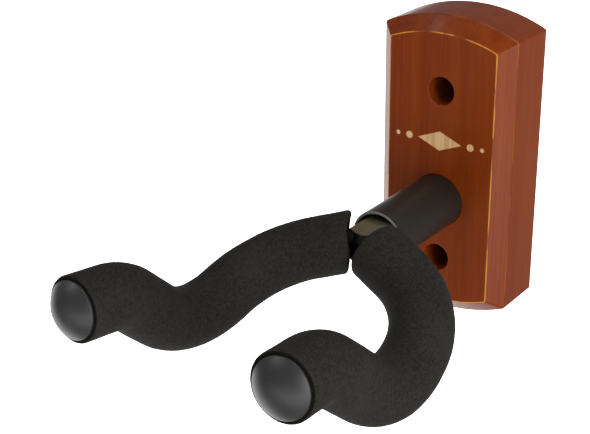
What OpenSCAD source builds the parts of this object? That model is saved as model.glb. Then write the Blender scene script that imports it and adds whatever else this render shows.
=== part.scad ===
// Wall guitar hanger: a hardwood block, a standoff tube, and a swivelling yoke with two foam-covered arms.
// Frame: the wall is the plane y = 0, -Y points out into the room, +Z is up.
// The origin lies on the wall, midway between the two wall screws.

/* [Wood block] */
// Width of the block
block_w = 51; // [46:0.5:60]
// Height of the block over both crowned ends
block_h = 108.5; // [100:0.5:120]
// Thickness of the block, wall face to front face
block_t = 25.5; // [24:0.5:30]
// How far the middle of the block sits above the middle of the screws
block_rise = 2; // [0:0.5:4]
// Radius of the crowned top and bottom ends
crown_r = 60; // [50:1:90]
// Width and depth of the bevel round the front face
bevel = 5.1; // [2:0.1:6]

/* [Wall screws] */
// Distance between the two screw holes
screw_spacing = 62; // [58:1:70]
// Clearance hole for the screw's shank
screw_hole_d = 5.2; // [4:0.1:6]
// Bore that sinks the screw's head
head_bore_d = 10; // [8:0.5:12]
// Depth of the head bore, before its conical seat
head_bore_depth = 13; // [6:0.5:16]

/* [Inlay] */
// Width of the lozenge
inlay_w = 17; // [10:0.5:24]
// Height of the lozenge
inlay_h = 7; // [4:0.5:10]
// Depth of the inlay in the front face
inlay_depth = 0.8; // [0.4:0.1:1.5]
// Height of the inlay's centre above the origin
inlay_rise = 13; // [12:0.5:16]
// Diameter of the large dot on each side of the lozenge
large_dot_d = 2.6; // [2:0.1:3]
// Diameter of the small dot on each side of the lozenge
small_dot_d = 1.6; // [1:0.1:2]

/* [Standoff tube] */
// Outer diameter of the tube
tube_od = 19; // [18:0.5:22]
// Wall thickness of the tube
tube_wall = 1; // [0.8:0.1:1.5]
// How far the tube stands out of the front face
tube_reach = 39; // [30:0.5:44]
// How deep the tube is seated in the block
tube_seat = 8; // [6:0.5:9]
// How far the pivot axis lies below the origin
axis_drop = 9; // [7:0.5:11]

/* [Pivot] */
// Diameter of the pivot stud
stud_d = 8; // [6:1:8]
// Diameter of the recess in the back of the block
recess_d = 22; // [21:0.5:26]
// Depth of the recess in the back of the block
recess_depth = 12; // [12:0.5:12.5]
// Width of the lock nut across its flats
nut_flats = 13; // [11:0.5:14]

/* [Yoke hub] */
// Width of the square hub bar
hub_w = 11.2; // [10:0.1:11.4]
// Length of the hub bar, back end to nose
hub_length = 33; // [30:1:34]
// Length of the turned nose on the hub bar
hub_nose = 4.7; // [2:0.1:6]

/* [Arms] */
// Diameter of the steel arm rods
rod_d = 6.4; // [5.6:0.1:8]
// Outer diameter of the foam sleeves
foam_od = 20.4; // [18:0.2:20.6]
// Distance along the rod from its root to the start of its sleeve
sleeve_start = 5.8; // [5.6:0.1:9]

/* [End caps] */
// Diameter of the domed caps
cap_d = 17.8; // [14:0.1:18]
// Height of the dome above the end of the sleeve
cap_dome = 4; // [3:0.5:6]
// Length of the socket that grips the rod's end
cap_socket = 9; // [6:1:12]

/* [Hidden] */
$fn = 72;

// Assembly gaps: a push fit, a running fit on the radius, and end play between turning faces
push_gap = 0.05;
run_gap = 0.05;
end_play = 0.2;

// How far a cutting shape runs past the face that it cuts
over = 1;

// How far a straight of an arm laps into a bend, and how much thinner its radius is
lap = 0.8;
lap_step = 0.05;

// Heights of the block's ends
block_top = block_rise + block_h / 2;
block_bottom = block_rise - block_h / 2;
screw_seat = (head_bore_d - screw_hole_d) / 2;

// Distances from the point of the lozenge to the middle of each dot
large_dot_step = 3.5;
small_dot_step = 8;

// Stations along the pivot axis, as distances out from the wall
tube_base = block_t - tube_seat;
tube_rim = block_t + tube_reach;
bush_flange_t = 1.5;
washer_t = 1.6;
thrust_t = 1;
nut_t = 4.8;
nut_collar_t = 1.7;
nose_tip = 77;
hub_back = nose_tip - hub_length;
core_front = hub_back - end_play - thrust_t;
flange_back = recess_depth - bush_flange_t;
washer_back = flange_back - end_play - washer_t;
nut_back = washer_back - nut_t;
stud_back = 1.2;
stud_thread = 16;

// Diameters along the pivot axis
tube_id = tube_od - 2 * tube_wall;
bush_od = 12;
bush_flange_d = 18;
bush_id = stud_d + 2 * run_gap;
thrust_od = 15.5;
washer_od = 17;
insert_od = 10.4;
collar_od = 12.2;

// Route of the right arm's rod: its root in the hub, three bends, and its tip
root = [2, -73.2, -6.7];
shoulder = [33.3, -82.2, -17.6];
dip = [39, -117.5, -31.5];
rise = [35.8, -148.5, -4];
tip = [37, -166.5, -2];
route = [root, shoulder, dip, rise, tip];
bend_r = [0, 32, 30, 20, 0];

// The cap's socket, and the rod's end inside it
socket_od = 10.4;
rod_back = 0.5;
cap_brim = 0.8;
foam_id = rod_d + 2 * push_gap;

function unit(v) = v / norm(v);
function heading(i) = unit(route[i + 1] - route[i]);
function turn(i) = acos(heading(i - 1) * heading(i));
// Straight length that a bend takes from each side of its corner
function setback(i) = bend_r[i] == 0 ? 0 : bend_r[i] * tan(turn(i) / 2);
function bend_start(i) = route[i] - setback(i) * heading(i - 1);
function bend_end(i) = route[i] + setback(i) * heading(i);
function inward(i) = unit(heading(i) - heading(i - 1));
function bend_centre(i) = route[i] + inward(i) * bend_r[i] / cos(turn(i) / 2);
function bend_spoke(i) = unit(bend_start(i) - bend_centre(i));

// Puts a child's X, Y and Z axes along x, y and z, and its origin at p
module frame_at(p, x, y, z) {
    multmatrix([
        [x[0], y[0], z[0], p[0]],
        [x[1], y[1], z[1], p[1]],
        [x[2], y[2], z[2], p[2]],
        [0, 0, 0, 1]
    ]) children();
}

// Turns a child's +Z along a direction, from point p
module aim(p, direction) {
    side = unit(cross([0, 0, 1], direction));
    frame_at(p, side, cross(direction, side), direction) children();
}

// Turns a child's +Z out from the wall, along the pivot axis
module on_pivot(station = 0) {
    translate([0, -station, -axis_drop]) rotate([90, 0, 0]) children();
}

// A ring about Z, from height z0 to z1
module ring(od, id, z0, z1) {
    difference() {
        translate([0, 0, z0]) cylinder(d = od, h = z1 - z0);
        translate([0, 0, z0 - over]) cylinder(d = id, h = z1 - z0 + 2 * over);
    }
}

// A round bar along the arm's route, from a distance past the root to a distance short of the tip.
// Each straight is a hair thinner than the bends and laps into them, so that they join as one solid.
module along_arm(d, from_root, from_tip) {
    last = len(route) - 1;
    for (i = [0 : last - 1]) {
        a = i == 0 ? root + from_root * heading(0) : bend_end(i) - lap * heading(i);
        b = i == last - 1 ? tip - from_tip * heading(i) : bend_start(i + 1) + lap * heading(i);
        aim(a, heading(i)) cylinder(d = d - 2 * lap_step, h = norm(b - a));
    }
    for (i = [1 : last - 1])
        frame_at(bend_centre(i), bend_spoke(i), heading(i - 1), cross(bend_spoke(i), heading(i - 1)))
            rotate_extrude(angle = turn(i)) translate([bend_r[i], 0]) circle(d = d);
}

// A flat disc with the block's crown radius and the same bevel, centred below the top of the block
module crown_disc(z) {
    translate([0, 0, z]) rotate([90, 0, 0]) {
        cylinder(r = crown_r, h = block_t - bevel, $fn = 180);
        translate([0, 0, block_t - bevel]) cylinder(r1 = crown_r, r2 = crown_r - bevel, h = bevel, $fn = 180);
    }
}

module block_blank() {
    half = block_w / 2;
    intersection() {
        translate([0, 0, block_bottom]) linear_extrude(block_h) polygon([
            [-half, 0], [half, 0], [half, bevel - block_t], [half - bevel, -block_t],
            [bevel - half, -block_t], [-half, bevel - block_t]
        ]);
        crown_disc(block_top - crown_r);
        crown_disc(block_bottom + crown_r);
    }
}

// A wall screw's hole: shank bore, conical seat and head bore
module screw_hole() {
    seat_z = block_t - head_bore_depth - screw_seat;
    rotate([90, 0, 0]) {
        translate([0, 0, -over]) cylinder(d = screw_hole_d, h = block_t + 2 * over);
        translate([0, 0, seat_z]) cylinder(d1 = screw_hole_d, d2 = head_bore_d, h = screw_seat);
        translate([0, 0, block_t - head_bore_depth]) cylinder(d = head_bore_d, h = head_bore_depth + over);
    }
}

// A lozenge with a large and a small dot on each side of it
module inlay_outline() {
    polygon([[-inlay_w / 2, 0], [0, -inlay_h / 2], [inlay_w / 2, 0], [0, inlay_h / 2]]);
    for (side = [-1, 1]) {
        translate([side * (inlay_w / 2 + large_dot_step), 0]) circle(d = large_dot_d, $fn = 36);
        translate([side * (inlay_w / 2 + small_dot_step), 0]) circle(d = small_dot_d, $fn = 36);
    }
}

module inlay_solid(depth) {
    translate([0, -block_t, inlay_rise]) rotate([90, 0, 0]) translate([0, 0, -inlay_depth])
        linear_extrude(depth) inlay_outline();
}

module wood_block() {
    color("#8a4232") difference() {
        block_blank();
        for (side = [-1, 1]) translate([0, 0, side * screw_spacing / 2]) screw_hole();
        on_pivot() {
            translate([0, 0, -over]) cylinder(d = recess_d, h = recess_depth + over);
            cylinder(d = bush_od + 2 * push_gap, h = block_t);
            translate([0, 0, tube_base]) cylinder(d = tube_od + 2 * push_gap, h = tube_seat + over);
        }
        inlay_solid(inlay_depth + over);
    }
}

module front_inlay() {
    color("#d9a866") inlay_solid(inlay_depth);
}

module standoff_tube() {
    color("#2b2824") on_pivot() ring(tube_od, tube_id, tube_base, tube_rim);
}

// Nylon core that fills the back of the tube and carries the stud
module bearing_core() {
    color("#e8e6df") on_pivot() ring(tube_id - 2 * push_gap, bush_id, tube_base, core_front);
}

// Nylon bush with a flange, pushed in from the recess
module rear_bush() {
    color("#e8e6df") on_pivot() {
        ring(bush_flange_d, bush_id, flange_back, recess_depth);
        ring(bush_od, bush_id, recess_depth, tube_base);
    }
}

// Square bar with a turned nose, a tapped hole for the stud, and a socket for each arm rod
module yoke_hub() {
    corner_r = hub_w / sqrt(2);
    color("#4a4438") difference() {
        on_pivot() intersection() {
            translate([-hub_w / 2, -hub_w / 2, hub_back]) cube([hub_w, hub_w, hub_length]);
            union() {
                translate([0, 0, hub_back - over])
                    cylinder(r = corner_r + over, h = hub_length - hub_nose + over);
                translate([0, 0, nose_tip - hub_nose])
                    cylinder(r1 = corner_r, r2 = corner_r - hub_nose, h = hub_nose);
            }
        }
        on_pivot(hub_back - over) cylinder(d = stud_d + 2 * push_gap, h = stud_thread + over);
        for (side = [0, 1]) mirror([side, 0, 0]) aim(root, heading(0)) cylinder(d = foam_id, h = hub_w);
    }
}

module pivot_stud() {
    color("silver") on_pivot(stud_back) cylinder(d = stud_d, h = hub_back + stud_thread - stud_back - over);
}

module thrust_washer() {
    color("#e8e6df") on_pivot() ring(thrust_od, stud_d + 2 * push_gap, hub_back - thrust_t, hub_back);
}

module rear_washer() {
    color("silver") on_pivot() ring(washer_od, stud_d + 2 * push_gap, washer_back, washer_back + washer_t);
}

// Hexagon nut with a round collar that holds the nylon ring
module lock_nut() {
    color("silver") on_pivot() {
        difference() {
            translate([0, 0, nut_back]) cylinder(d = nut_flats / cos(30), h = nut_t, $fn = 6);
            translate([0, 0, nut_back - over]) cylinder(d = stud_d + 2 * push_gap, h = nut_t + 2 * over);
        }
        ring(collar_od, insert_od, nut_back - nut_collar_t, nut_back);
    }
}

module lock_nut_insert() {
    color("#3a6ea8") on_pivot() ring(insert_od, stud_d, nut_back - nut_collar_t, nut_back);
}

module right_arm_rod() {
    color("silver") along_arm(rod_d, 0, rod_back);
}

module right_foam_sleeve() {
    color("#2f2d29") difference() {
        along_arm(foam_od, sleeve_start, 0);
        along_arm(foam_id, sleeve_start - over, -over);
        aim(tip, -heading(len(route) - 2)) cylinder(d = socket_od, h = cap_socket);
    }
}

// Domed cap with a socket that grips the rod inside the sleeve
module right_end_cap() {
    brim_r = cap_d / 2;
    ball_r = (brim_r * brim_r + cap_dome * cap_dome) / (2 * cap_dome);
    color("#58585a") aim(tip, heading(len(route) - 2)) {
        rotate_extrude() intersection() {
            translate([0, cap_brim + cap_dome - ball_r]) circle(r = ball_r, $fn = 120);
            translate([0, cap_brim]) square([brim_r + over, cap_dome + over]);
        }
        cylinder(r = brim_r, h = cap_brim);
        ring(socket_od, foam_id, -cap_socket, 0);
    }
}

module left_arm_rod() { mirror([1, 0, 0]) right_arm_rod(); }
module left_foam_sleeve() { mirror([1, 0, 0]) right_foam_sleeve(); }
module left_end_cap() { mirror([1, 0, 0]) right_end_cap(); }

wood_block();
front_inlay();
standoff_tube();
bearing_core();
rear_bush();
yoke_hub();
pivot_stud();
thrust_washer();
rear_washer();
lock_nut();
lock_nut_insert();
left_arm_rod();
right_arm_rod();
left_foam_sleeve();
right_foam_sleeve();
left_end_cap();
right_end_cap();
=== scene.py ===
from math import asin, atan2, ceil, cos, pi, radians, sin, sqrt, tan

import bmesh
import bpy
from mathutils import Matrix, Vector


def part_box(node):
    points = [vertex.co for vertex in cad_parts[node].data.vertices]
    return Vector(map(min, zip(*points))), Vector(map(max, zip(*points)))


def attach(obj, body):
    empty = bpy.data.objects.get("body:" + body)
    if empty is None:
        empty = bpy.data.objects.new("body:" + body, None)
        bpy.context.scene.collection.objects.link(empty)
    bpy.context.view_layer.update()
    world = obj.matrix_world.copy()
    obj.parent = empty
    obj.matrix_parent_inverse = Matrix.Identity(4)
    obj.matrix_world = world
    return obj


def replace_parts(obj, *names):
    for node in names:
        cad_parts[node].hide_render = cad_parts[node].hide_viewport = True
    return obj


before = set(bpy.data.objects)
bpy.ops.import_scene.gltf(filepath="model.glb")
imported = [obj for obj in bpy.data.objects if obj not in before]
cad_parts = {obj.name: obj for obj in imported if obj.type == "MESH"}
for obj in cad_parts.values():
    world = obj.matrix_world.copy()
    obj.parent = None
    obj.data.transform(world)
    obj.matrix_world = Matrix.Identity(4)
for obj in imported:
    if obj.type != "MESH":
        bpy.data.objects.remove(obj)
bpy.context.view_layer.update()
MM = 0.001


# The wood block. Close-grained hardwood with crowned ends and a bevelled front, stained and lacquered.
# Its arrises are eased by sanding, which has cut through the stain at the front edges. The screw bores, the
# pivot bore, the recess at the back and the pockets of the inlay go into it. The walls of the screw bores are
# coloured lighter, towards the pale wood, as a painted highlight.
BLOCK_LOW, BLOCK_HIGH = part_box("wood_block")
BLOCK_HALF = BLOCK_HIGH.x
BLOCK_THICK = -BLOCK_LOW.y
CROWN_R = 60 * MM
CROWN_STEPS = 16
CORNER_R = 0.9 * MM
CORNER_STEPS = 5
BEVEL = 5.1 * MM
ARRIS_R = 0.8 * MM
ARRIS_STEPS = 5
FACE_STRIP = 3 * MM
# The third of these lightens the walls of the screw bores: a painted highlight, not wear.
OUTER_WEAR, INNER_WEAR, BORE_HIGHLIGHT = 0.42, 1.0, 0.3
WEAR_OVER_ARRIS = (0, 0.75, 1, 1, 0.75, 0)
SCREW_Z = 31 * MM
HEAD_BORE_R = 5 * MM
HEAD_BORE_DEPTH = 13 * MM
SHANK_R = 2.6 * MM
BORE_EASE, BORE_STEPS = 0.25 * MM, 3
MOUTH_STRIP, SHANK_STRIP, RECESS_STRIP = 0.6 * MM, 0.4 * MM, 0.8 * MM
INLAY_DEPTH = 0.8 * MM
INLAY_Z = 13 * MM
LOZENGE_HALF_W, LOZENGE_HALF_H = 8.5 * MM, 3.5 * MM
DOTS = ((3.5 * MM, 1.3 * MM), (8 * MM, 0.8 * MM))
DOT_STEPS = 36
PIVOT_Z = (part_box("standoff_tube")[0].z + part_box("standoff_tube")[1].z) / 2
TUBE_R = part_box("standoff_tube")[1].x
TUBE_BASE = -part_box("standoff_tube")[1].y
TUBE_RIM = -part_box("standoff_tube")[0].y
RECESS_R = 11 * MM
RECESS_DEPTH = 12 * MM
RECESS_EASE = 0.4 * MM
BUSH_R = 6.05 * MM
PUSH_GAP = 0.05 * MM
SEAT_EASE = 0.15 * MM
SHARP = radians(40)
DARK_STAIN, LIGHT_STAIN = (0.130, 0.0170, 0.0015), (0.225, 0.0370, 0.0035)
# The pale wood colour shows at the worn arrises, and stands in as a painted highlight on the walls of the screw
# bores.
CLOUDED_STAIN, PORE_STAIN, BARE_WOOD_AND_HIGHLIGHT = (0.24, 0.050, 0.006), (0.055, 0.011, 0.003), (0.62, 0.27, 0.035)


def rounded(corners, radius, steps=5):
    """A line through 2-D corners, with each inner one turned into an arc. One radius, or one for each corner."""
    radii = radius if isinstance(radius, (list, tuple)) else [radius] * len(corners)
    line = [Vector(corners[0])]
    for before, corner, after, r in zip(corners, corners[1:], corners[2:], radii[1:]):
        back = (Vector(before) - Vector(corner)).normalized()
        ahead = (Vector(after) - Vector(corner)).normalized()
        if r == 0 or abs(back.cross(ahead)) < 1e-6:
            line.append(Vector(corner))
            continue
        half = back.angle(ahead) / 2
        centre = Vector(corner) + (back + ahead).normalized() * r / sin(half)
        first = Vector(corner) + back * r / tan(half) - centre
        last = Vector(corner) + ahead * r / tan(half) - centre
        for i in range(steps + 1):
            line.append(centre + first.slerp(last, i / steps, first) * r)
    line.append(Vector(corners[-1]))
    return line


def skin(bm, rings):
    """Joins rings of the same number of vertices with quads, each ring to the next one."""
    count = len(rings[0])
    for ring, after in zip(rings, rings[1:]):
        for i in range(count):
            j = (i + 1) % count
            bm.faces.new((ring[i], ring[j], after[j], after[i]))


def block_outline(inset):
    """The block's outline, that far inside its edge: two sides, two crowns and four eased corners."""
    half, crown = BLOCK_HALF - inset, CROWN_R - inset
    outline = []
    for side, end, middle in ((1, 1, BLOCK_HIGH.z - CROWN_R), (-1, 1, BLOCK_HIGH.z - CROWN_R),
                              (-1, -1, BLOCK_LOW.z + CROWN_R), (1, -1, BLOCK_LOW.z + CROWN_R)):
        hip = Vector((half - CORNER_R, sqrt((crown - CORNER_R) ** 2 - (half - CORNER_R) ** 2)))
        lean = atan2(hip.y, hip.x)
        turns = [lean * i / CORNER_STEPS for i in range(CORNER_STEPS + 1)]
        corner = [hip + CORNER_R * Vector((cos(a), sin(a))) for a in turns]
        turns = [lean + (pi / 2 - lean) * i / CROWN_STEPS for i in range(1, CROWN_STEPS + 1)]
        quarter = corner + [crown * Vector((cos(a), sin(a))) for a in turns]
        if side * end < 0:
            quarter = quarter[-2::-1]
        outline += [(side * p.x, middle + end * p.y) for p in quarter]
    return outline


def round_outline(x, z, r, steps=64):
    return [(x + r * cos(2 * pi * i / steps), z + r * sin(2 * pi * i / steps)) for i in range(steps)]


def ring_at(bm, outline, y):
    return [bm.verts.new((x, y, z)) for x, z in outline]


def close_face(bm, loops):
    """Fills the flat face between an outer loop and the loops of its holes."""
    edges = []
    for loop in loops:
        for a, b in zip(loop, loop[1:] + loop[:1]):
            edges.append(bm.edges.get((a, b)) or bm.edges.new((a, b)))
    bmesh.ops.triangle_fill(bm, use_beauty=True, use_dissolve=False, edges=edges)


def shell_object(name, bm, smooth=True):
    """A mesh object from bm, with its faces turned outwards and its rounded edges shaded evenly."""
    bmesh.ops.remove_doubles(bm, verts=bm.verts, dist=1e-7)
    bmesh.ops.recalc_face_normals(bm, faces=bm.faces)
    for face in bm.faces:
        face.smooth = smooth
    mesh = bpy.data.meshes.new(name)
    bm.to_mesh(mesh)
    bm.free()
    mesh.set_sharp_from_angle(angle=SHARP)
    piece = bpy.data.objects.new(name, mesh)
    bpy.context.scene.collection.objects.link(piece)
    if smooth:
        weighted = piece.modifiers.new("even shading", "WEIGHTED_NORMAL")
        weighted.keep_sharp = True
    return piece


def lozenge_and_dots():
    """The inlay's outlines: a lozenge with a large and a small dot on each side of it."""
    outlines = [[(LOZENGE_HALF_W, INLAY_Z), (0, INLAY_Z + LOZENGE_HALF_H),
                 (-LOZENGE_HALF_W, INLAY_Z), (0, INLAY_Z - LOZENGE_HALF_H)]]
    for side in (-1, 1):
        for step, r in DOTS:
            outlines.append(round_outline(side * (LOZENGE_HALF_W + step), INLAY_Z, r, DOT_STEPS))
    return outlines


def wood_block_mesh():
    bm = bmesh.new()
    wear_and_highlight_layer = bm.verts.layers.float.new("wear_and_highlight")
    edge = rounded([(FACE_STRIP, 0), (0, 0), (0, BEVEL - BLOCK_THICK), (BEVEL, -BLOCK_THICK),
                    (BEVEL + FACE_STRIP, -BLOCK_THICK)], ARRIS_R, ARRIS_STEPS)
    rings = [ring_at(bm, block_outline(p.x), p.y) for p in edge]
    for arris, amount in ((1, OUTER_WEAR), (2, INNER_WEAR)):
        first_ring = 1 + arris * (ARRIS_STEPS + 1)
        for step, share in enumerate(WEAR_OVER_ARRIS):
            for vertex in rings[first_ring + step]:
                vertex[wear_and_highlight_layer] = amount * share
    skin(bm, rings)
    front, back = [rings[-1]], [rings[0]]
    seat = BLOCK_THICK - HEAD_BORE_DEPTH
    for side in (-1, 1):
        bore = rounded([(HEAD_BORE_R + MOUTH_STRIP, -BLOCK_THICK), (HEAD_BORE_R, -BLOCK_THICK),
                        (HEAD_BORE_R, -seat), (SHANK_R, HEAD_BORE_R - SHANK_R - seat), (SHANK_R, 0),
                        (SHANK_R + SHANK_STRIP, 0)], BORE_EASE, BORE_STEPS)
        walls = [ring_at(bm, round_outline(0, side * SCREW_Z, p.x), p.y) for p in bore]
        # Painted highlight: the walls of the screw bores, below their mouths, are lightened towards the pale
        # wood.
        for vertex in sum(walls[BORE_STEPS + 1:-1], []):
            vertex[wear_and_highlight_layer] = BORE_HIGHLIGHT
        skin(bm, walls)
        front.append(walls[0])
        back.append(walls[-1])
    bore = rounded([(TUBE_R + SHANK_STRIP, -BLOCK_THICK), (TUBE_R + PUSH_GAP, -BLOCK_THICK),
                    (TUBE_R + PUSH_GAP, -TUBE_BASE), (BUSH_R, -TUBE_BASE), (BUSH_R, -RECESS_DEPTH),
                    (RECESS_R, -RECESS_DEPTH), (RECESS_R, 0), (RECESS_R + RECESS_STRIP, 0)],
                   [0, SEAT_EASE, 0, 0, 0, RECESS_EASE, RECESS_EASE, 0], BORE_STEPS)
    walls = [ring_at(bm, round_outline(0, PIVOT_Z, p.x), p.y) for p in bore]
    skin(bm, walls)
    front.append(walls[0])
    back.append(walls[-1])
    for outline in lozenge_and_dots():
        mouth = ring_at(bm, outline, -BLOCK_THICK)
        floor = ring_at(bm, outline, INLAY_DEPTH - BLOCK_THICK)
        skin(bm, [mouth, floor])
        bm.faces.new(floor)
        front.append(mouth)
    close_face(bm, front)
    close_face(bm, back)
    return bm


class Field:
    """A value that varies over a surface. Arithmetic on it adds the Math nodes that work it out."""

    def __init__(self, bench, socket):
        self.bench, self.socket = bench, socket

    def maths(self, operation, *values):
        return self.bench.node("ShaderNodeMath", {"operation": operation}, dict(enumerate(values)))

    def __add__(self, other): return self.maths("ADD", self, other)
    def __radd__(self, other): return self.maths("ADD", other, self)
    def __sub__(self, other): return self.maths("SUBTRACT", self, other)
    def __rsub__(self, other): return self.maths("SUBTRACT", other, self)
    def __mul__(self, other): return self.maths("MULTIPLY", self, other)
    def __rmul__(self, other): return self.maths("MULTIPLY", other, self)

    def between(self, low, high):
        """0 below low, 1 above high, and a smooth step from one to the other."""
        return self.bench.node("ShaderNodeMapRange", {"interpolation_type": "SMOOTHSTEP"},
                               {"Value": self, "From Min": low, "From Max": high})

    def sibling(self, output):
        """Another output of the node that this value comes from."""
        return Field(self.bench, self.socket.node.outputs[output])


class Bench:
    """A node tree, and the one way that nodes are added to it."""

    def __init__(self, tree):
        self.tree = tree

    def node(self, kind, settings=None, sockets=None, output=0):
        made = self.tree.nodes.new(kind)
        for name, value in (settings or {}).items():
            setattr(made, name, value)
        for name, value in (sockets or {}).items():
            if isinstance(value, Field):
                self.tree.links.new(value.socket, made.inputs[name])
            else:
                made.inputs[name].default_value = value
        return None if output is None else Field(self, made.outputs[output])


class Finish(Bench):
    """A material's node tree, on the object's own coordinates, in metres."""

    def __init__(self, name):
        self.material = bpy.data.materials.new(name)
        self.material.use_nodes = True
        super().__init__(self.material.node_tree)
        self.shader = self.tree.nodes["Principled BSDF"]
        self.place = self.node("ShaderNodeTexCoord", output="Object")

    def noise(self, scale, detail=3, rough=0.55, warp=0.0):
        """Noise with that many features to a metre: one number, or one for each of X, Y and Z."""
        scales = scale if isinstance(scale, tuple) else (scale,) * 3
        place = self.node("ShaderNodeVectorMath", {"operation": "MULTIPLY"}, {0: self.place, 1: scales})
        return self.node("ShaderNodeTexNoise", None, {"Vector": place, "Scale": 1.0, "Detail": detail,
                                                      "Roughness": rough, "Distortion": warp})

    def mixed(self, amount, first, second):
        """A colour, or a colour Field, blended towards a second one."""
        sockets = {0: amount}
        for index, colour in ((6, first), (7, second)):
            sockets[index] = colour if isinstance(colour, Field) else (*colour, 1)
        return self.node("ShaderNodeMix", {"data_type": "RGBA"}, sockets, output=2)

    def bump(self, height, depth):
        """Fine relief, with depth in metres for a height that goes from 0 to 1."""
        return self.node("ShaderNodeBump", None, {"Height": height, "Distance": depth, "Strength": 1.0})

    def surface(self, **sockets):
        """Sets the shader's sockets, with _ for a space, and hands back the material."""
        for name, value in sockets.items():
            socket = self.shader.inputs[name.replace("_", " ")]
            if isinstance(value, Field):
                self.tree.links.new(value.socket, socket)
            else:
                socket.default_value = (*value, 1) if isinstance(value, tuple) else value
        return self.material


def stained_wood():
    wood = Finish("stained wood")
    streaks = wood.noise((1100, 1100, 16), detail=5, rough=0.6, warp=0.4)
    bands = wood.noise((110, 110, 5), detail=2, warp=0.8)
    pores = wood.noise((3200, 3200, 120), detail=1).between(0.66, 0.74)
    cloud = wood.noise((26, 26, 12), detail=2)
    tone = (streaks * 0.5 + bands * 0.5).between(0.25, 0.75)
    stain = wood.mixed(tone, DARK_STAIN, LIGHT_STAIN)
    stain = wood.mixed(cloud.between(0.4, 0.75) * 0.3, stain, CLOUDED_STAIN)
    stain = wood.mixed(pores * 0.35, stain, PORE_STAIN)
    patchy = wood.noise((150, 150, 45)).between(0.35, 0.6)
    # This mark lightens the wood towards the pale colour: at the front arrises it is wear through the stain, on
    # the walls of the screw bores a painted highlight.
    wear_and_highlight = wood.node("ShaderNodeAttribute", {"attribute_name": "wear_and_highlight"}, output=2)
    wear_and_highlight = (wear_and_highlight * (0.4 + patchy * 0.75)).between(0.3, 0.85)
    relief = streaks * 0.7 - pores * 0.5
    return wood.surface(Base_Color=wood.mixed(wear_and_highlight * 0.85, stain, BARE_WOOD_AND_HIGHLIGHT),
                        Roughness=0.40 + (streaks - 0.5) * 0.12, Normal=wood.bump(relief, 0.012 * MM),
                        Specular_IOR_Level=0.05, Coat_Weight=0.27, Coat_Roughness=0.15)


block = shell_object("hardwood_block", wood_block_mesh())
block.data.materials.append(stained_wood())
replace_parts(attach(block, "block"), "wood_block")


# The inlay. A lozenge and dots of light maple, glued into pockets in the front and sanded flush before the
# lacquer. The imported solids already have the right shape.
DARK_MAPLE, PALE_MAPLE = (0.52, 0.30, 0.12), (0.72, 0.46, 0.22)


def light_inlay():
    maple = Finish("light inlay")
    streaks = maple.noise((700, 700, 30), detail=4, warp=0.3)
    return maple.surface(Base_Color=maple.mixed(streaks.between(0.35, 0.65), DARK_MAPLE, PALE_MAPLE),
                         Roughness=0.4 + streaks * 0.1, Coat_Weight=0.6, Coat_Roughness=0.22)


def refinish(node, material):
    """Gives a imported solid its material."""
    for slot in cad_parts[node].material_slots:
        slot.material = material


refinish("front_inlay", light_inlay())


# The standoff tube. Thin steel tube with its ends faced and deburred, powder coated satin black, and seated in
# the front of the block. The hub of the yoke turns in its mouth, and its rim is painted a lighter grey
# highlight.
TUBE_WALL = 1 * MM
RIM_EASE = 0.3 * MM
# The rim's lighter grey is a painted highlight.
RIM_HIGHLIGHT_GREY = (0.20, 0.20, 0.20)
RIM_FADE = (TUBE_RIM - 0.15 * MM, TUBE_RIM + 0.05 * MM)
RIM_RAGGEDNESS = 0.2 * MM


def powder_coat(name, dark, light, painted_rim_highlight=False):
    coat = Finish(name)
    orange_peel = coat.noise(1500, detail=2)
    drift = coat.noise(60, detail=2)
    colour = coat.mixed(drift, dark, light)
    # Painted highlight: the rim is coloured a lighter grey, with a ragged edge to it.
    if painted_rim_highlight:
        out = coat.node("ShaderNodeSeparateXYZ", None, {0: coat.place}, output=1)
        colour = coat.mixed((drift * RIM_RAGGEDNESS - out).between(*RIM_FADE), colour, RIM_HIGHLIGHT_GREY)
    return coat.surface(Base_Color=colour, Roughness=0.36 + drift * 0.1,
                        Normal=coat.bump(orange_peel, 0.012 * MM), Specular_IOR_Level=0.5)


def evenly(steps):
    return [2 * pi * i / steps for i in range(steps)]


def turned(bm, profile, around=evenly(96)):
    """Turns a profile of (station, radius) about the Z axis. The profile may be a function of the angle, as it
    is on a square or hexagonal bar or on a thread. Its ends are closed where they reach the axis."""
    columns = [profile(angle) if callable(profile) else profile for angle in around]
    rings = [[bm.verts.new((radius * cos(angle), radius * sin(angle), station))
              for angle, (station, radius) in zip(around, level)] for level in zip(*columns)]
    skin(bm, rings)
    for ring, (station, radius) in ((rings[0], columns[0][0]), (rings[-1], columns[0][-1])):
        if radius == 0:
            bmesh.ops.pointmerge(bm, verts=ring, merge_co=(0, 0, station))


def on_pivot(bm):
    """Stands a turned shape on the pivot axis, with its stations as distances out from the wall."""
    bm.transform(Matrix.Translation((0, 0, PIVOT_Z)) @ Matrix.Rotation(pi / 2, 4, "X"))
    return bm


def ring_profile(outer, inner, near, far, ease):
    """The closed profile of a ring, with eased edges."""
    middle = (near + far) / 2
    corners = [(middle, inner), (near, inner), (near, outer), (far, outer), (far, inner), (middle, inner)]
    return rounded(corners, ease, 3)


tube_bm = bmesh.new()
turned(tube_bm, ring_profile(TUBE_R, TUBE_R - TUBE_WALL, TUBE_BASE, TUBE_RIM, RIM_EASE))
tube = shell_object("satin_black_tube", on_pivot(tube_bm))
COAT_WITH_RIM_HIGHLIGHT = powder_coat("powder coat with painted rim highlight", (0.009, 0.008, 0.0065), (0.014, 0.0125, 0.0095), painted_rim_highlight=True)
tube.data.materials.append(COAT_WITH_RIM_HIGHLIGHT)
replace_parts(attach(tube, "block"), "standoff_tube")


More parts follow.
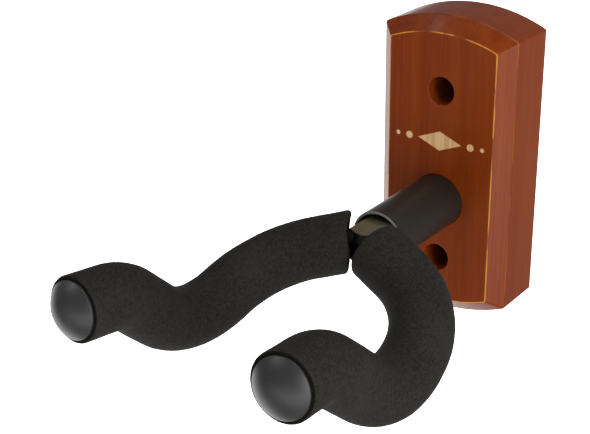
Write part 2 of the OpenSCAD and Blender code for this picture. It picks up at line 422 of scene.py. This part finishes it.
# The nylon bearings. A core that fills the back of the tube, a flanged bush in the recess, and a thrust washer
# that turns with the hub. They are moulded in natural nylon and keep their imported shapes.
def natural_nylon():
    nylon = Finish("natural nylon")
    haze = nylon.noise(300)
    return nylon.surface(Base_Color=nylon.mixed(haze, (0.60, 0.58, 0.50), (0.68, 0.66, 0.58)),
                         Roughness=0.38 + haze * 0.15, Subsurface_Weight=0.1, Subsurface_Scale=1 * MM)


NATURAL_NYLON = natural_nylon()
for bearing in ("bearing_core", "rear_bush", "thrust_washer"):
    refinish(bearing, NATURAL_NYLON)


# The yoke's hub. Square steel bar with a turned nose, drilled for the stud. Its flat top is coloured a lit olive
# and the rest of it black: painted light on the top, and painted shade on the nose and sides.
HUB_LOW, HUB_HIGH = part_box("yoke_hub")
HUB_HALF = HUB_HIGH.x
HUB_BACK, HUB_TIP = -HUB_HIGH.y, -HUB_LOW.y
NOSE = 4.7 * MM
HUB_CORNER_R = HUB_HALF * sqrt(2)
BAR_EASE = 0.6 * MM
BACK_EASE, SHOULDER_EASE, NOSE_EASE = 0.3 * MM, 0.45 * MM, 0.5 * MM
CORNER_SPAN = radians(3.6)
# The black is painted shade, and the two olive colours are the painted lit top.
SHADED_HUB_BLACK = (0.004, 0.004, 0.0035)
DARK_LIT_TOP, PALE_LIT_TOP = (0.11, 0.09, 0.05), (0.15, 0.12, 0.07)


def square_bar(angle):
    """How far a square bar's side, with its rounded corners, lies from its middle."""
    across, along = abs(cos(angle)), abs(sin(angle))
    flat, core = HUB_HALF / max(across, along), HUB_HALF - BAR_EASE
    if flat * min(across, along) <= core:
        return flat
    lean = core * (across + along)
    return lean + sqrt(lean ** 2 - 2 * core ** 2 + BAR_EASE ** 2)


def hub_profile(angle):
    side = square_bar(angle)
    return rounded([(HUB_BACK, 0), (HUB_BACK, side), (HUB_TIP - NOSE + HUB_CORNER_R - side, side),
                    (HUB_TIP, HUB_CORNER_R - NOSE), (HUB_TIP, 0)],
                   [0, BACK_EASE, SHOULDER_EASE, NOSE_EASE, 0], 4)


def corner_angles(count, flat_steps, corner_steps, corner):
    """Angles round a bar with that many sides, closer together over its rounded corners."""
    side = 2 * pi / count
    angles = []
    for i in range(count):
        start, stop = (i - 0.5) * side + corner, (i + 0.5) * side - corner
        angles += [start + (stop - start) * j / flat_steps for j in range(flat_steps)]
        angles += [stop + 2 * corner * j / corner_steps for j in range(corner_steps)]
    return angles


def steel_painted_lit_and_shaded():
    steel = Finish("steel painted lit and shaded")
    up = steel.node("ShaderNodeSeparateXYZ", None, {0: steel.place}, output=2)
    grain = steel.noise((900, 60, 900), detail=4)
    top = PIVOT_Z + HUB_HALF
    # Painted light and shade: the flat top takes the lit olive colour, the nose and sides the shaded black.
    lit_top = (up + grain * 0.3 * MM).between(top - 0.25 * MM, top + 0.05 * MM)
    lit_top_colour = steel.mixed(grain, DARK_LIT_TOP, PALE_LIT_TOP)
    return steel.surface(Base_Color=steel.mixed(lit_top, SHADED_HUB_BLACK, lit_top_colour), Roughness=0.4 + grain * 0.12,
                         Specular_IOR_Level=0.2)


hub_bm = bmesh.new()
turned(hub_bm, hub_profile, corner_angles(4, 16, 8, CORNER_SPAN))
hub = shell_object("hub_bar", on_pivot(hub_bm))
hub.data.materials.append(steel_painted_lit_and_shaded())
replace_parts(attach(hub, "yoke"), "yoke_hub")


# The pivot's fastenings. A zinc-plated M8 stud that screws into the hub, and in the recess at the back a flat
# washer and a hexagon lock nut, whose round collar grips a blue nylon ring.
STUD_BACK, STUD_FRONT = -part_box("pivot_stud")[1].y, -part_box("pivot_stud")[0].y
STUD_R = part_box("pivot_stud")[1].x
STUD_POINT_R = STUD_R * 0.8
THREAD_PITCH = 1.25 * MM
THREAD_LENGTH = 15 * MM
THREAD_DEPTH = 0.6 * MM
STEPS_PER_TURN = 10
POINT_LENGTH = 0.6 * MM
WASHER_NEAR, WASHER_FAR = -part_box("rear_washer")[1].y, -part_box("rear_washer")[0].y
WASHER_EASE = 0.3 * MM
NUT_HALF = 6.5 * MM
NUT_FACE_R = NUT_HALF - 0.25 * MM
NUT_COLLAR = 1.7 * MM
NUT_COLLAR_R = 6.1 * MM
INSERT_R = 5.2 * MM
COLLAR_EASE, INSERT_EASE = 0.4 * MM, 0.15 * MM
NUT_BACK, NUT_FRONT = -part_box("lock_nut")[1].y + NUT_COLLAR, -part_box("lock_nut")[0].y


def zinc_plate():
    zinc = Finish("zinc plate")
    spangle = zinc.noise(500)
    rub = zinc.noise(90, detail=2)
    return zinc.surface(Base_Color=zinc.mixed(spangle, (0.46, 0.47, 0.47), (0.62, 0.62, 0.60)), Metallic=1.0,
                        Roughness=0.28 + rub * 0.2, Normal=zinc.bump(spangle, 0.006 * MM))


def stud_profile(angle):
    """The stud's profile at an angle. The rolled thread at its back end fades out where the shank starts."""
    thread = []
    steps = int(THREAD_LENGTH / THREAD_PITCH) * STEPS_PER_TURN
    for i in range(1, steps):
        along = THREAD_LENGTH * i / steps
        fade = min(1, along / THREAD_PITCH, (THREAD_LENGTH - along) / THREAD_PITCH)
        groove = fade * THREAD_DEPTH * (0.5 + 0.5 * cos(2 * pi * along / THREAD_PITCH + angle))
        thread.append((STUD_BACK + POINT_LENGTH + along, STUD_R - groove))
    return [(STUD_BACK, 0), (STUD_BACK, STUD_POINT_R), (STUD_BACK + POINT_LENGTH, STUD_R), *thread,
            (STUD_FRONT, STUD_R), (STUD_FRONT, 0)]


def nut_profile(angle):
    """The nut's profile at an angle: chamfered hexagon faces, and a collar stepped inside for the ring."""
    side = NUT_HALF / cos((angle + pi / 6) % (pi / 3) - pi / 6)
    chamfer = (side - NUT_FACE_R) * tan(radians(30))
    return rounded([(NUT_FRONT, STUD_R), (NUT_FRONT, NUT_FACE_R), (NUT_FRONT - chamfer, side),
                    (NUT_BACK + chamfer, side), (NUT_BACK, NUT_FACE_R), (NUT_BACK, NUT_COLLAR_R),
                    (NUT_BACK - NUT_COLLAR, NUT_COLLAR_R), (NUT_BACK - NUT_COLLAR, INSERT_R),
                    (NUT_BACK, INSERT_R), (NUT_BACK, STUD_R), (NUT_FRONT, STUD_R)],
                   [0, 0, 0, 0, 0, 0, COLLAR_EASE, INSERT_EASE, 0, 0, 0], 3)


def blue_nylon():
    ring = Finish("blue nylon")
    haze = ring.noise(400, detail=2)
    return ring.surface(Base_Color=ring.mixed(haze, (0.02, 0.09, 0.30), (0.03, 0.12, 0.38)),
                        Roughness=0.4 + haze * 0.1)


ZINC_PLATE = zinc_plate()
WASHER_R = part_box("rear_washer")[1].x
WASHER_RING = ring_profile(WASHER_R, STUD_R + PUSH_GAP, WASHER_NEAR, WASHER_FAR, WASHER_EASE)
for name, node, profile, steps in (("threaded_stud", "pivot_stud", stud_profile, 48),
                                   ("flat_washer", "rear_washer", WASHER_RING, 96),
                                   ("hexagon_lock_nut", "lock_nut", nut_profile, 120)):
    fastening_bm = bmesh.new()
    turned(fastening_bm, profile, evenly(steps))
    fastening = shell_object(name, on_pivot(fastening_bm))
    fastening.data.materials.append(ZINC_PLATE)
    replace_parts(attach(fastening, "yoke"), node)

refinish("lock_nut_insert", blue_nylon())


# The arm rods. Two lengths of 6.4 mm steel rod, each bent three times: out and forward at the shoulder, up at
# the dip, and level again before the tip. The same bend, made by one geometry tree, shapes everything that is
# on a rod.
ROD_R = 3.2 * MM
ROUTE = [Vector(p) * MM for p in ((2, -73.2, -6.7), (33.3, -82.2, -17.6), (39, -117.5, -31.5),
                                  (35.8, -148.5, -4), (37, -166.5, -2))]
BEND_R = [32 * MM, 30 * MM, 20 * MM]
BEND_STEPS = 24
PAST_TIP = 12 * MM
ROD_SHORT = 0.5 * MM
ROD_STEP = 1.5 * MM
ARMS = ((-1, "left"), (1, "right"))


def bent_route(side):
    """The line down the middle of a rod, with its bends as arcs, and a little more straight past its tip."""
    line = [ROUTE[0]]
    for before, corner, after, r in zip(ROUTE, ROUTE[1:], ROUTE[2:], BEND_R):
        back, ahead = (before - corner).normalized(), (after - corner).normalized()
        half = back.angle(ahead) / 2
        centre = corner + (back + ahead).normalized() * r / sin(half)
        first, last = corner + back * r / tan(half) - centre, corner + ahead * r / tan(half) - centre
        line += [centre + first.slerp(last, i / BEND_STEPS) * r for i in range(BEND_STEPS + 1)]
    line.append(ROUTE[-1])
    line.append(ROUTE[-1] + (ROUTE[-1] - ROUTE[-2]).normalized() * PAST_TIP)
    return [Vector((side * p.x, p.y, p.z)) for p in line]


def route_curve(name, points):
    curve = bpy.data.curves.new(name, "CURVE")
    curve.dimensions = "3D"
    spline = curve.splines.new("POLY")
    spline.points.add(len(points) - 1)
    for point, place in zip(spline.points, points):
        point.co = (*place, 1)
    held = bpy.data.objects.new(name, curve)
    bpy.context.scene.collection.objects.link(held)
    return held


ROUTES = {side: route_curve("route", bent_route(side)) for side, name in ARMS}
ARM_LENGTH = sum((b - a).length for a, b in zip(bent_route(1), bent_route(1)[1:])) - PAST_TIP


def bending_tree():
    """Bends a straight piece, drawn along Z, onto a route, and roughens its skin by the height asked for."""
    tree = bpy.data.node_groups.new("bend onto rod", "GeometryNodeTree")
    for name, kind, way in (("Piece", "NodeSocketGeometry", "INPUT"), ("Route", "NodeSocketObject", "INPUT"),
                            ("Roughening", "NodeSocketFloat", "INPUT"), ("Grit", "NodeSocketFloat", "INPUT"),
                            ("Finish", "NodeSocketMaterial", "INPUT"),
                            ("Piece", "NodeSocketGeometry", "OUTPUT")):
        tree.interface.new_socket(name, in_out=way, socket_type=kind)
    bench = Bench(tree)
    piece = bench.node("NodeGroupInput", output="Piece")
    grit = piece.sibling("Grit")
    route = bench.node("GeometryNodeObjectInfo", {"transform_space": "ORIGINAL"},
                       {"Object": piece.sibling("Route")}, "Geometry")
    straight = bench.node("ShaderNodeSeparateXYZ", None, {0: bench.node("GeometryNodeInputPosition")})
    place = bench.node("GeometryNodeSampleCurve", {"mode": "LENGTH"},
                       {"Curves": route, "Length": straight.sibling(2)}, "Position")
    ahead, up = place.sibling("Tangent"), place.sibling("Normal")
    beside = bench.node("ShaderNodeVectorMath", {"operation": "CROSS_PRODUCT"}, {0: ahead, 1: up})
    for direction, amount in ((up, straight), (beside, straight.sibling(1))):
        shift = bench.node("ShaderNodeVectorMath", {"operation": "SCALE"}, {0: direction, "Scale": amount})
        place = bench.node("ShaderNodeVectorMath", {"operation": "ADD"}, {0: place, 1: shift})
    bent = bench.node("GeometryNodeSetPosition", None, {"Geometry": piece, "Position": place})
    fine = bench.node("ShaderNodeTexNoise", None, {"Scale": grit, "Detail": 2.0}, "Fac")
    broad = bench.node("ShaderNodeTexNoise", None, {"Scale": grit * 0.12, "Detail": 1.0}, "Fac")
    height = (fine + broad * 1.5 - 1.25) * piece.sibling("Roughening")
    outward = bench.node("GeometryNodeInputNormal")
    lift = bench.node("ShaderNodeVectorMath", {"operation": "SCALE"}, {0: outward, "Scale": height})
    rough = bench.node("GeometryNodeSetPosition", None, {"Geometry": bent, "Offset": lift})
    whole = bench.node("GeometryNodeRealizeInstances", None, {"Geometry": rough})
    finished = bench.node("GeometryNodeSetMaterial", None,
                          {"Geometry": whole, "Material": piece.sibling("Finish")})
    bench.node("NodeGroupOutput", None, {"Piece": finished}, output=None)
    return tree


BENDING = bending_tree()


def onto_rod(name, bm, side, material, roughening=0.0, grit=1000.0):
    """Slides a straight piece onto one of the rods, and hands back the bent piece as a plain mesh."""
    straight = shell_object(name + " straight", bm, smooth=False)
    bend = straight.modifiers.new("bend", "NODES")
    bend.node_group = BENDING
    values = {"Route": ROUTES[side], "Roughening": roughening, "Grit": grit, "Finish": material}
    for socket in BENDING.interface.items_tree:
        if socket.in_out == "INPUT" and socket.name in values:
            bend[socket.identifier] = values[socket.name]
    mesh = bpy.data.meshes.new_from_object(straight.evaluated_get(bpy.context.evaluated_depsgraph_get()))
    bpy.data.objects.remove(straight)
    mesh.name = name
    mesh.shade_smooth()
    mesh.set_sharp_from_angle(angle=SHARP)
    piece = bpy.data.objects.new(name, mesh)
    bpy.context.scene.collection.objects.link(piece)
    return piece


def stations(near, far, gap):
    """Evenly spaced stations between two ends, both left out, no further apart than the gap."""
    count = ceil((far - near) / gap)
    return [near + (far - near) * i / count for i in range(1, count)]


POWDER_COAT = powder_coat("black powder coat", (0.014, 0.013, 0.011), (0.022, 0.020, 0.017))
ROD_END = ARM_LENGTH - ROD_SHORT
for side, name in ARMS:
    bar = bmesh.new()
    along = ((s, ROD_R) for s in stations(0, ROD_END, ROD_STEP))
    turned(bar, [(0, 0), (0, ROD_R), *along, (ROD_END, ROD_R), (ROD_END, 0)], evenly(48))
    rod = onto_rod(name + "_bent_rod", bar, side, POWDER_COAT)
    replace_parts(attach(rod, "yoke"), name + "_arm_rod")


# The foam sleeves. Tubes of black closed-cell foam, pushed over the rods and up to the hub, which they are
# hollowed for. The skin is finely pebbled. The end face at the tip is coloured darker, a painted shade. The left
# one is cut out of square at its root.
FOAM_R = 10.2 * MM
SLEEVE_START = {-1: 2.6 * MM, 1: 3.6 * MM}
HOLLOW_END = {-1: 7 * MM, 1: 5.8 * MM}
HOLLOW_R = 7.9 * MM
SLANT = {-1: (0.55, radians(228)), 1: (0, 0)}
SLANT_FADE = 25 * MM
CUT_EASE, ROOT_EASE, LIP_EASE, SOCKET_EASE = 0.6 * MM, 1.5 * MM, 0.35 * MM, 0.3 * MM
SOCKET_R = 5.2 * MM
SOCKET_LENGTH = 9 * MM
SKIN_STEP, INSIDE_STEP = 0.55 * MM, 2 * MM
PEBBLE_HEIGHT, PEBBLE_GRIT = 0.16 * MM, 900.0
DARK_FOAM, PALE_FOAM = (0.011, 0.010, 0.0082), (0.032, 0.029, 0.0245)
# The darker end colour is painted shade on the foam's end face at the tip.
SCUFFED_FOAM, FOAM_END_SHADE = (0.034, 0.030, 0.026), (0.007, 0.0055, 0.0045)


def closed_cell_foam():
    foam = Finish("closed-cell foam")
    cells = foam.node("ShaderNodeTexVoronoi", {"feature": "F1"}, {"Vector": foam.place, "Scale": 2600.0},
                      "Distance")
    pits = foam.noise(3000, detail=2, rough=0.6)
    mottle = foam.noise(900)
    scuff = foam.noise(60, detail=2)
    speck = (pits * 0.65 + mottle * 0.35).between(0.36, 0.66)
    colour = foam.mixed(speck, DARK_FOAM, PALE_FOAM)
    colour = foam.mixed(scuff.between(0.4, 0.8) * 0.35, colour, SCUFFED_FOAM)
    # Painted shade: the end face at the tip is coloured darker.
    end_shade = foam.node("ShaderNodeAttribute", {"attribute_name": "end_shade"}, output=2)
    relief = pits * 0.6 + cells * 0.8
    return foam.surface(Base_Color=foam.mixed(end_shade, colour, FOAM_END_SHADE), Roughness=0.85 + mottle * 0.1,
                        Normal=foam.bump(relief, 0.10 * MM), Specular_IOR_Level=0.12)


def sleeve_bm(side):
    """A straight sleeve, hollowed at its root to clear the hub. The cut at its root may be out of square: slant
    is the cut's slope, and the angle is the one at which it reaches furthest back."""
    start, seat, end = SLEEVE_START[side], HOLLOW_END[side], ARM_LENGTH
    slope, furthest = SLANT[side]
    corners = [(seat, ROD_R), (seat, HOLLOW_R), (start, HOLLOW_R), (start, FOAM_R), (end, FOAM_R),
               (end, SOCKET_R), (end - SOCKET_LENGTH, SOCKET_R), (end - SOCKET_LENGTH, ROD_R), (seat, ROD_R)]
    outline = rounded(corners, [0, 0, LIP_EASE, ROOT_EASE, CUT_EASE, SOCKET_EASE, 0, 0, 0], 6)
    even = []
    for a, b in zip(outline, outline[1:]):
        gap = SKIN_STEP if min(a.y, b.y) > SOCKET_R - 0.01 * MM else INSIDE_STEP
        pieces = ceil((b - a).length / gap)
        even += [a.lerp(b, i / pieces) for i in range(pieces)]
    even.append(outline[-1])

    def profile(angle):
        lean = slope * cos(angle - furthest)
        return [(s - lean * r * max(0, 1 - (s - start) / SLANT_FADE), r) for s, r in even]

    bm = bmesh.new()
    turned(bm, profile, evenly(112))
    # Marks the end face and socket at the tip, which the foam's material colours darker as painted shade.
    end_shade = bm.verts.layers.float.new("end_shade")
    for vertex in bm.verts:
        at_tip = vertex.co.z > end - SOCKET_LENGTH
        vertex[end_shade] = 1.0 if at_tip and vertex.co.xy.length < FOAM_R - CUT_EASE / 2 else 0.0
    return bm


CLOSED_CELL_FOAM = closed_cell_foam()
for side, name in ARMS:
    sleeve = onto_rod(name + "_foam_grip", sleeve_bm(side), side, CLOSED_CELL_FOAM,
                      PEBBLE_HEIGHT, PEBBLE_GRIT)
    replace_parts(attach(sleeve, "yoke"), name + "_foam_sleeve")


# The end caps. Domed caps dip-moulded in dark grey vinyl, smooth and glossy. Each has a brim that covers the
# end of the foam and a socket that grips the end of the rod.
CAP_R = 8.9 * MM
CAP_BRIM = 0.8 * MM
CAP_DOME = 4 * MM
DOME_STEPS = 28
BRIM_EASE = 0.35 * MM


def grey_vinyl():
    vinyl = Finish("grey vinyl")
    drift = vinyl.noise(120, detail=2)
    return vinyl.surface(Base_Color=vinyl.mixed(drift, (0.017, 0.0165, 0.016), (0.022, 0.021, 0.0205)),
                         Roughness=0.40 + drift * 0.06, Specular_IOR_Level=0.5,
                         Normal=vinyl.bump(vinyl.noise(900, detail=1), 0.004 * MM))


def cap_bm():
    bm = bmesh.new()
    ball_r = (CAP_R ** 2 + CAP_DOME ** 2) / (2 * CAP_DOME)
    edge = asin(CAP_R / ball_r)
    turns = [edge * i / DOME_STEPS for i in range(DOME_STEPS)]
    dome = [(CAP_BRIM + CAP_DOME - ball_r * (1 - cos(t)), ball_r * sin(t)) for t in turns]
    brim = rounded([dome[-1], (CAP_BRIM, CAP_R), (0, CAP_R), (0, SOCKET_R)], BRIM_EASE, 4)
    grip = [(-SOCKET_LENGTH, SOCKET_R), (-SOCKET_LENGTH, ROD_R), (-ROD_SHORT, ROD_R), (-ROD_SHORT, 0)]
    turned(bm, [(ARM_LENGTH + s, r) for s, r in [*dome, *brim[1:], *grip]])
    return bm


GREY_VINYL = grey_vinyl()
for side, name in ARMS:
    cap = onto_rod(name + "_domed_cap", cap_bm(), side, GREY_VINYL)
    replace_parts(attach(cap, "yoke"), name + "_end_cap")

for held in ROUTES.values():
    bpy.data.objects.remove(held)


# The studio. A pale floor well below the hanger, a white surround, and a softbox on each side and above. The
# floor has two light panels in it, one behind the hanger on its left and one in front of it on its right.
FLOOR_Z = -0.45
FLOOR_HALF = 6.0
FLOOR_GLOW = 2.0
SURROUND_GLOW = 0.28
SURROUND_SEEN = 0.8


def pale_floor():
    acrylic = Finish("pale floor")
    right = acrylic.node("ShaderNodeSeparateXYZ", None, {0: acrylic.place})
    back = right.sibling(1)
    left_panel = (back * 0.5 - right * 1.6).between(-0.05, 0.4) * back.between(-0.7, -0.2)
    glow = left_panel + (right - back).between(0.7, 1.3) + acrylic.node("ShaderNodeLightPath")
    return acrylic.surface(Base_Color=(0.5, 0.5, 0.5), Roughness=0.9, Emission_Strength=FLOOR_GLOW,
                           Emission_Color=acrylic.mixed(glow, (0, 0, 0), (1, 1, 1)))


floor_bm = bmesh.new()
bmesh.ops.create_grid(floor_bm, x_segments=1, y_segments=1, size=FLOOR_HALF)
floor_bm.transform(Matrix.Translation((0, 0, FLOOR_Z)))
floor = shell_object("studio_floor", floor_bm, smooth=False)
floor.data.materials.append(pale_floor())

world = bpy.data.worlds.new("white surround")
world.use_nodes = True
background = world.node_tree.nodes["Background"]
background.inputs["Color"].default_value = (1, 1, 1, 1)
strength = Bench(world.node_tree).node("ShaderNodeLightPath") * SURROUND_SEEN + SURROUND_GLOW
world.node_tree.links.new(strength.socket, background.inputs["Strength"])
bpy.context.scene.world = world


def softbox(name, place, size, watts, target=(0, -0.08, 0)):
    light = bpy.data.lights.new(name, "AREA")
    light.shape, light.size, light.size_y, light.energy = "RECTANGLE", size[0], size[1], watts
    lamp = bpy.data.objects.new(name, light)
    lamp.location = place
    lamp.rotation_mode = "QUATERNION"
    lamp.rotation_quaternion = (Vector(place) - Vector(target)).to_track_quat("Z", "Y")
    bpy.context.scene.collection.objects.link(lamp)


softbox("left softbox", (-0.6, -0.5, 0.8), (0.4, 0.4), 2)
softbox("right softbox", (1.05, -0.5, 0.3), (0.5, 0.9), 9)
softbox("top softbox", (0.25, 0.2, 1.0), (0.5, 0.5), 3)

bpy.context.scene.view_settings.view_transform = "Standard"


# The camera. It stands close to the hanger, in front of it, to its right and above it, and it is level to
# within a degree.
CAMERA_PLACE = (0.2108, -0.3962, 0.1732)
AZIMUTH, PITCH, ROLL = 36.35, 23.93, -0.81
camera_data = bpy.data.cameras.new("camera")
camera_data.lens = 80.34
camera_data.clip_start = 0.01
camera = bpy.data.objects.new("camera", camera_data)
camera.matrix_world = (Matrix.Translation(CAMERA_PLACE) @ Matrix.Rotation(radians(AZIMUTH), 4, "Z")
                       @ Matrix.Rotation(radians(90 - PITCH), 4, "X") @ Matrix.Rotation(radians(ROLL), 4, "Z"))
bpy.context.scene.collection.objects.link(camera)
bpy.context.scene.camera = camera
